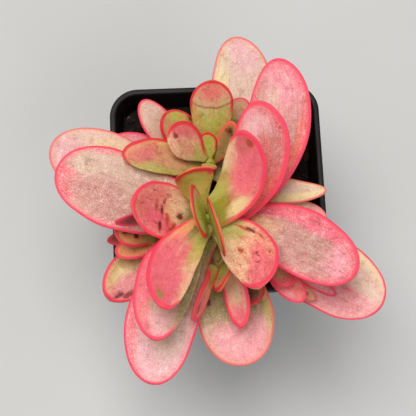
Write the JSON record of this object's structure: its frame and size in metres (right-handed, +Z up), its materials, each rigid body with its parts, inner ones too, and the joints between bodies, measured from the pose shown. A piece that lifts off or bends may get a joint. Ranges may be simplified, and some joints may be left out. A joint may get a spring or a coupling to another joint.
{
  "type": "potted crassula platyphylla",
  "caption": "Potted succulent with crossed pairs of flat, rounded, red-edged leaves on short stems, in a square tapered nursery pot with soil.",
  "frame": {"origin": "centre of the pot's flat bottom, on the surface it stands on", "axes": "+Z up; +Y away from the viewer across the pot, towards the second stem; +X to the viewer's right"},
  "size_m": [0.1047, 0.1126, 0.1086],
  "materials": {
    "pot": "satin near-black plastic",
    "soil": "rough dark potting mix",
    "stem": "matte olive-brown",
    "rosy_leaf": "satin, waxy, red at the margin",
    "pale_leaf": "satin, finely speckled, red at the margin",
    "green_leaf": "satin, waxy, red at the margin"
  },
  "bodies": {
    "root": {"leaf_back_1_north": "green_leaf", "leaf_back_1_south": "rosy_leaf", "leaf_back_2_east": "green_leaf", "leaf_back_2_west": "green_leaf", "leaf_back_3_north": "green_leaf", "leaf_back_4_west": "green_leaf", "leaf_back_5_east": "green_leaf", "leaf_back_5_west": "green_leaf", "leaf_back_6_west": "pale_leaf", "leaf_back_7_east": "pale_leaf", "leaf_back_7_west": "pale_leaf", "leaf_back_8_north": "pale_leaf", "leaf_front_1_east": "rosy_leaf", "leaf_front_1_west": "rosy_leaf", "leaf_front_2_east": "rosy_leaf", "leaf_front_2_south": "rosy_leaf", "leaf_left_1": "green_leaf", "leaf_left_2": "green_leaf", "leaf_left_3": "green_leaf", "leaf_left_4": "green_leaf", "leaf_left_5": "pale_leaf", "leaf_main_1_east": "green_leaf", "leaf_main_1_west": "green_leaf", "leaf_main_2_north": "rosy_leaf", "leaf_main_2_south": "rosy_leaf", "leaf_main_3_east": "rosy_leaf", "leaf_main_3_north": "green_leaf", "leaf_main_3_west": "rosy_leaf", "leaf_main_4_north": "pale_leaf", "leaf_main_4_south": "rosy_leaf", "leaf_main_5_east": "pale_leaf", "leaf_main_5_west": "pale_leaf", "leaf_main_6_north": "pale_leaf", "leaf_main_6_south": "pale_leaf", "leaf_main_7_east": "pale_leaf", "leaf_main_7_west": "pale_leaf", "leaf_main_8_east": "pale_leaf", "leaf_main_8_south": "pale_leaf", "leaf_main_side_west": "green_leaf", "leaf_right_1": "rosy_leaf", "leaf_right_2": "rosy_leaf", "leaf_right_3": "rosy_leaf", "leaf_right_4": "rosy_leaf", "pot": "pot", "soil": "soil", "stem_back": "stem", "stem_main": "stem"}
  },
  "joints": []
}
